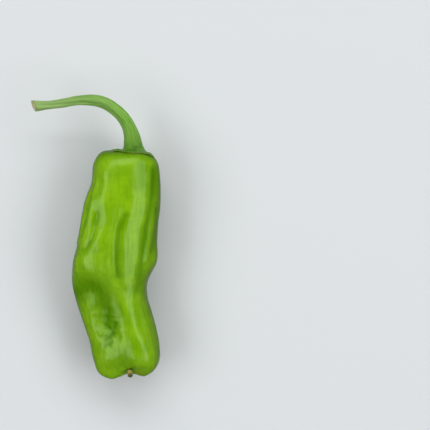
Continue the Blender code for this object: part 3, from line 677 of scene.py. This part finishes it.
def stemBlank():
    angle = np.arange(stem["columns"]) * tau / stem["columns"]
    calyx, (shaft, line) = calyxRings(angle), stemRings(angle)
    clear = int(np.searchsorted(runOf(line), stem["flareRise"]))
    foot, top = calyx[-1], shaft[clear]
    nearRoot = np.full(1, 0.01)  # mm
    base = overPod(nearRoot, [stem["seatGap"] + stem["calyxThickness"]], np.zeros(1))[0]
    corner = shaft[1] + base - line[1]
    flare = []
    for s in np.linspace(0, 1, stem["flareRings"] + 2)[1:-1]:
        flare.append((1 - s) ** 2 * foot + 2 * s * (1 - s) * corner + s**2 * top)
    centre = line[-1]
    ahead = (line[-1] - line[-2]) / np.linalg.norm(line[-1] - line[-2])
    leaning = stem["leaningRings"]
    for back in range(1, leaning + 1):  # the last rings lean, so that the cut looks up
        slant = (shaft[-back] - line[-back]) @ stem["cutLean"] * (leaning + 1 - back) / leaning
        shaft[-back] = shaft[-back] - np.outer(slant, ahead)
    end = shaft[-1]
    cut = [centre + (end - centre) * part + ahead * depth for part, depth in stem["cut"]]
    rings = calyx + flare + shaft[clear:] + cut
    root = overPod(np.zeros(1), [stem["seatGap"]], np.zeros(1))[0]
    pith = centre + ahead * stem["cut"][-1][1]

    # marks for the ribs and the colours, ring by ring
    count = len(rings) + 2
    first, last = 1 + len(calyx), count - 2 - len(cut)
    onStem = np.linspace(0, 1, last + 1 - first)
    alongStem, onShaft, onCut = np.zeros(count), np.zeros(count), np.zeros(count)
    alongStem[first:last + 1] = onStem
    onShaft[first:last + 1] = smoothStep(0, stem["ribsFrom"], onStem)
    onCut[last + 1:] = 1
    rim = 1 + stem["underRings"][2] + stem["rimRings"][2] / 2
    rimEdge = np.exp(-((np.arange(count) - rim) / stem["corkSpread"]) ** 2)
    rimEdge[first:] = 0
    rimEdge[last - 1:last + 1] = (0.5, 1.0)  # the edge of the cut is corky too
    perRing = {"alongStem": alongStem, "onShaft": onShaft, "onCut": onCut, "rimEdge": rimEdge}
    marks = {name: np.tile(values[:, None], (1, len(angle))) for name, values in perRing.items()}
    return closedSkin(
        "stem_calyx_visual", root, rings, pith, around=np.tile(angle, (count, 1)), **marks,
    )


def stemTree(material):
    tree, size = newTree("stemRibs", stem["sizes"])
    place = addNode(tree, "GeometryNodeInputPosition").outputs[0]
    mark = {
        name: addNode(tree, "GeometryNodeInputNamedAttribute", {}, {"Name": name}).outputs["Attribute"]
        for name in ("around", "alongStem", "onShaft")
    }
    turned = addNode(tree, "ShaderNodeMath", {"operation": "MULTIPLY_ADD"}, {
        0: mark["alongStem"], 1: size["Twist"], 2: mark["around"]}).outputs[0]
    height = 0.0
    for count, rise in (("Ribs", "Rib Height"), ("Strands", "Strand Height")):
        phase = addNode(tree, "ShaderNodeMath", {"operation": "MULTIPLY"}, {
            0: turned, 1: size[count]}).outputs[0]
        wave = addNode(tree, "ShaderNodeMath", {"operation": "COSINE"}, {0: phase}).outputs[0]
        height = addNode(tree, "ShaderNodeMath", {"operation": "MULTIPLY_ADD"}, {
            0: wave, 1: size[rise], 2: height}).outputs[0]
    ribbed = addNode(tree, "ShaderNodeMath", {"operation": "MULTIPLY"}, {
        0: height, 1: mark["onShaft"]}).outputs[0]
    lumps = signedNoise(tree, place, size["Seed"], size["Lump Size"], 2.0, 0.5)
    total = addNode(tree, "ShaderNodeMath", {"operation": "MULTIPLY_ADD"}, {
        0: lumps, 1: size["Lump Height"], 2: ribbed}).outputs[0]
    endTree(tree, raiseSkin(tree, size["Geometry"], total), material)
    return tree


def fibrousStem():  # a green stem: matt fibres under a thin cuticle, corky at the calyx rim and the cut
    skin = {
        "stem": "#548e22",
        "pale": "#8abc50",
        "dry": "#9cb678",
        "calyx": "#558a18",
        "footShade": "#33680a",
        "cork": "#6e7c26",
        "cut": "#beb487",
        "fibres": (7.0, 7.0, 5.0),  # across the stem and along the whole of it
        "blotchSize": 1.25,  # mm
        "fibreDepth": 0.05,
        # masks: the two ends of what each one reads, and what it gives there
        "streaky": (0.38, 0.62, 0.0, 1.0),  # fibres
        "ageing": (0.3, 1.0, 0.0, 0.7),  # share of the stem
        "risen": (0.02, 0.24, 1.0, 0.0),
        "nearFoot": (0.1, 0.05, 0.0, 0.8),
        "footShadeBlotches": (0.45, 0.58, 0.0, 1.0),  # blotches, where painted shade lies in dips round the stem's foot
        "corky": (0.35, 0.6, 0.2, 1.0),
        "rough": (0.3, 0.7, 0.38, 0.55),  # fibres
        "surface": {"IOR": 1.45, "Specular Tint": (0.9, 1.0, 0.5, 1)},  # a thin plant cuticle
    }
    material = bpy.data.materials.new("fibrousStem")
    material.use_nodes = True
    tree = material.node_tree
    shader = tree.nodes["Principled BSDF"]
    mark = {
        name: addNode(tree, "ShaderNodeAttribute", {"attribute_name": name}).outputs["Fac"]
        for name in ("around", "alongStem", "onCut", "rimEdge")
    }
    place = addNode(tree, "ShaderNodeTexCoord").outputs["Object"]
    inMm = addNode(tree, "ShaderNodeVectorMath", {"operation": "SCALE"}, {
        0: place, "Scale": 1 / mm}).outputs[0]
    sine = addNode(tree, "ShaderNodeMath", {"operation": "SINE"}, {0: mark["around"]}).outputs[0]
    cosine = addNode(tree, "ShaderNodeMath", {"operation": "COSINE"}, {0: mark["around"]}).outputs[0]
    ring = addNode(tree, "ShaderNodeCombineXYZ", {}, {
        "X": cosine, "Y": sine, "Z": mark["alongStem"]}).outputs[0]
    drawn = addNode(tree, "ShaderNodeVectorMath", {"operation": "MULTIPLY"}, {
        0: ring, 1: skin["fibres"]}).outputs[0]
    fibres = addNode(tree, "ShaderNodeTexNoise", {}, {
        "Vector": drawn, "Scale": 1.0, "Detail": 4.0, "Roughness": 0.6}).outputs[0]
    blotch = addNode(tree, "ShaderNodeTexNoise", {}, {
        "Vector": inMm, "Scale": 1 / skin["blotchSize"], "Detail": 3.0}).outputs[0]
    mask = {}
    for name, value, slope in (
        ("streaky", fibres, "SMOOTHSTEP"), ("ageing", mark["alongStem"], "LINEAR"),
        ("risen", mark["alongStem"], "SMOOTHSTEP"), ("nearFoot", mark["alongStem"], "SMOOTHSTEP"),
        ("footShadeBlotches", blotch, "SMOOTHSTEP"), ("corky", blotch, "LINEAR"), ("rough", fibres, "LINEAR"),
    ):
        low, high, atLow, atHigh = skin[name]
        mask[name] = addNode(tree, "ShaderNodeMapRange", {"interpolation_type": slope}, {
            "Value": value, "From Min": low, "From Max": high,
            "To Min": atLow, "To Max": atHigh}).outputs[0]
    # painted shade in the small dips between the ribs at the stem's foot
    footShadeShare = addNode(tree, "ShaderNodeMath", {"operation": "MULTIPLY"}, {
        0: mask["nearFoot"], 1: mask["footShadeBlotches"]}).outputs[0]
    edge = addNode(tree, "ShaderNodeMath", {"operation": "MULTIPLY"}, {
        0: mark["rimEdge"], 1: mask["corky"]}).outputs[0]
    colour = linear(skin["stem"])
    for share, tint in (
        (mask["streaky"], "pale"), (mask["ageing"], "dry"), (mask["risen"], "calyx"),
        (footShadeShare, "footShade"), (edge, "cork"), (mark["onCut"], "cut"),
    ):
        colour = addNode(tree, "ShaderNodeMix", {"data_type": "RGBA"}, {
            0: share, 6: colour, 7: linear(skin[tint])}).outputs[2]
    bump = addNode(tree, "ShaderNodeBump", {}, {
        "Strength": 0.4, "Distance": skin["fibreDepth"] * mm, "Height": fibres}).outputs[0]
    for value, socket in ((colour, "Base Color"), (mask["rough"], "Roughness"), (bump, "Normal")):
        tree.links.new(value, shader.inputs[socket])
    for socket, value in skin["surface"].items():
        shader.inputs[socket].default_value = value
    return material


stemPiece = stemBlank()
runTree(stemPiece, stemTree(fibrousStem()), stem["sizes"])
finishPiece(stemPiece, "stem_calyx")


# Style: the shrivelled stub in the blossom end

style = {
    "columns": 64,
    "rows": 48,
    "root": (4.2, -34.75, 15.2),
    "tip": (4.4, -37.2, 15.9),
    "thickness": 1.9,
    "waist": 0.7,
    "bluntness": 4,
    "sizes": {
        "Shrivel Height": 0.12 * mm,
        "Shrivel Size": 0.7 * mm,
        "Seed": 5,
    },
}


def styleBlank():
    angle = np.arange(style["columns"]) * tau / style["columns"]
    root, tip = np.array(style["root"]), np.array(style["tip"])
    side = np.array([1.0, 0.0, 0.0])
    up = np.cross(side, (tip - root) / np.linalg.norm(tip - root))
    rings = []
    for row in range(1, style["rows"]):
        share = row / style["rows"]
        radius = style["thickness"] / 2 * math.sqrt(1 - (2 * share - 1) ** style["bluntness"])
        radius *= 1 - (1 - style["waist"]) * math.sin(math.pi * share) ** 2
        spoke = np.outer(np.cos(angle), side) + np.outer(np.sin(angle), up)
        rings.append(root + (tip - root) * share + spoke * radius)
    count = style["rows"] + 1
    share = np.tile(np.linspace(0, 1, count)[:, None], (1, len(angle)))
    return closedSkin("dried_style_visual", root, rings, tip, towardTip=share)


def styleTree(material):
    tree, size = newTree("styleShrivel", style["sizes"])
    place = addNode(tree, "GeometryNodeInputPosition").outputs[0]
    noise = signedNoise(tree, place, size["Seed"], size["Shrivel Size"], 2.0, 0.5)
    rise = addNode(tree, "ShaderNodeMath", {"operation": "MULTIPLY"}, {
        0: noise, 1: size["Shrivel Height"]}).outputs[0]
    endTree(tree, raiseSkin(tree, size["Geometry"], rise), material)
    return tree


def driedTissue():  # dry, corky plant tissue: rough, tan with a darker tip
    tissue = {
        "tan": "#a89c4e",
        "dark": "#4f4a18",
        "patchSize": 0.5,  # mm
        "patchDepth": 0.08,
        "patchiness": 0.6,  # how far the patches shift the darker tip
        "darkening": (0.6, 1.1),  # share of the length, shifted so, over which it darkens
        "roughness": 0.75,
    }
    material = bpy.data.materials.new("driedTissue")
    material.use_nodes = True
    tree = material.node_tree
    shader = tree.nodes["Principled BSDF"]
    place = addNode(tree, "ShaderNodeTexCoord").outputs["Object"]
    inMm = addNode(tree, "ShaderNodeVectorMath", {"operation": "SCALE"}, {
        0: place, "Scale": 1 / mm}).outputs[0]
    share = addNode(tree, "ShaderNodeAttribute", {"attribute_name": "towardTip"}).outputs["Fac"]
    noise = addNode(tree, "ShaderNodeTexNoise", {}, {
        "Vector": inMm, "Scale": 1 / tissue["patchSize"], "Detail": 3.0}).outputs[0]
    mixed = addNode(tree, "ShaderNodeMath", {"operation": "MULTIPLY_ADD"}, {
        0: noise, 1: tissue["patchiness"], 2: share}).outputs[0]
    low, high = tissue["darkening"]
    darker = addNode(tree, "ShaderNodeMapRange", {"interpolation_type": "SMOOTHSTEP"}, {
        "Value": mixed, "From Min": low, "From Max": high}).outputs[0]
    colour = addNode(tree, "ShaderNodeMix", {"data_type": "RGBA"}, {
        0: darker, 6: linear(tissue["tan"]), 7: linear(tissue["dark"])}).outputs[2]
    bump = addNode(tree, "ShaderNodeBump", {}, {
        "Strength": 0.5, "Distance": tissue["patchDepth"] * mm, "Height": noise}).outputs[0]
    tree.links.new(colour, shader.inputs["Base Color"])
    tree.links.new(bump, shader.inputs["Normal"])
    shader.inputs["Roughness"].default_value = tissue["roughness"]
    return material


stylePiece = styleBlank()
runTree(stylePiece, styleTree(driedTissue()), style["sizes"])
finishPiece(stylePiece, "dried_style")


# Studio: a pale floor, three large soft boxes and the camera above

studio = {
    "floor": "#e1e5e7",
    "floorReach": 1.5,  # m from its middle to its edges
    "around": 0.2,  # radiance of the walls, and of the ceiling
    "overhead": 0.4,
    "wallTop": (0.3, 0.8),  # sine of the elevation over which the walls turn into the ceiling
    "cameraShade": (0.86, 0.97, 1.0, 0.3),  # the camera shades the middle of the ceiling
    "boxes": [  # name, azimuth from +X in degrees, angle from vertical, width, height, radiance
        ("right", 0, 46, 2.2, 0.8, 2.2),
        ("top", 90, 49, 1.8, 0.85, 2.1),
        ("left", 188, 44, 1.6, 0.8, 2.3),
    ],
    "boxDistance": 1.6,  # m
    "boxAim": (0.0, 0.0, 12.0),  # mm
    "lens": 157.0,
    "cameraAt": (31.36, 14.4, 612.0),  # mm
}


def makeStudio():
    scene = bpy.context.scene
    world = bpy.data.worlds.new("room")
    world.use_nodes = True
    room = world.node_tree
    way = addNode(room, "ShaderNodeTexCoord").outputs["Generated"]
    climb = addNode(room, "ShaderNodeSeparateXYZ", {}, {0: way}).outputs["Z"]
    low, high = studio["wallTop"]
    glow = addNode(room, "ShaderNodeMapRange", {}, {
        "Value": climb, "From Min": low, "From Max": high,
        "To Min": studio["around"], "To Max": studio["overhead"]}).outputs[0]
    low, high, atLow, atHigh = studio["cameraShade"]
    shaded = addNode(room, "ShaderNodeMapRange", {}, {
        "Value": climb, "From Min": low, "From Max": high,
        "To Min": atLow, "To Max": atHigh}).outputs[0]
    light = addNode(room, "ShaderNodeMath", {"operation": "MULTIPLY"}, {0: glow, 1: shaded}).outputs[0]
    room.nodes["Background"].inputs["Color"].default_value = (1, 1, 1, 1)
    room.links.new(light, room.nodes["Background"].inputs["Strength"])
    scene.world = world
    scene.view_settings.view_transform = "Standard"

    sheet = bmesh.new()
    bmesh.ops.create_grid(sheet, x_segments=1, y_segments=1, size=studio["floorReach"])
    mesh = bpy.data.meshes.new("floor")
    sheet.to_mesh(mesh)
    sheet.free()
    floor = bpy.data.objects.new("floor", mesh)
    scene.collection.objects.link(floor)
    paper = bpy.data.materials.new("paperSweep")  # matt backdrop paper
    paper.use_nodes = True
    shader = paper.node_tree.nodes["Principled BSDF"]
    shader.inputs["Base Color"].default_value = linear(studio["floor"])
    shader.inputs["Roughness"].default_value = 0.9
    shader.inputs["Specular IOR Level"].default_value = 0.0
    mesh.materials.append(paper)

    middle = Vector(studio["boxAim"]) * mm
    for name, azimuth, tilt, width, height, radiance in studio["boxes"]:
        lamp = bpy.data.lights.new(name, "AREA")
        lamp.shape = "RECTANGLE"
        lamp.size, lamp.size_y = width, height
        lamp.energy = radiance * math.pi * width * height
        box = bpy.data.objects.new(name, lamp)
        scene.collection.objects.link(box)
        turn, lean = math.radians(azimuth), math.radians(tilt)
        out = math.sin(lean)
        away = Vector((math.cos(turn) * out, math.sin(turn) * out, math.cos(lean)))
        box.location = middle + away * studio["boxDistance"]
        box.rotation_euler = away.to_track_quat("Z", "Y").to_euler()

    camera = bpy.data.objects.new("camera", bpy.data.cameras.new("camera"))
    scene.collection.objects.link(camera)
    camera.data.lens = studio["lens"]
    camera.location = Vector(studio["cameraAt"]) * mm
    scene.camera = camera
    print("studio: floor, lights and camera")


makeStudio()
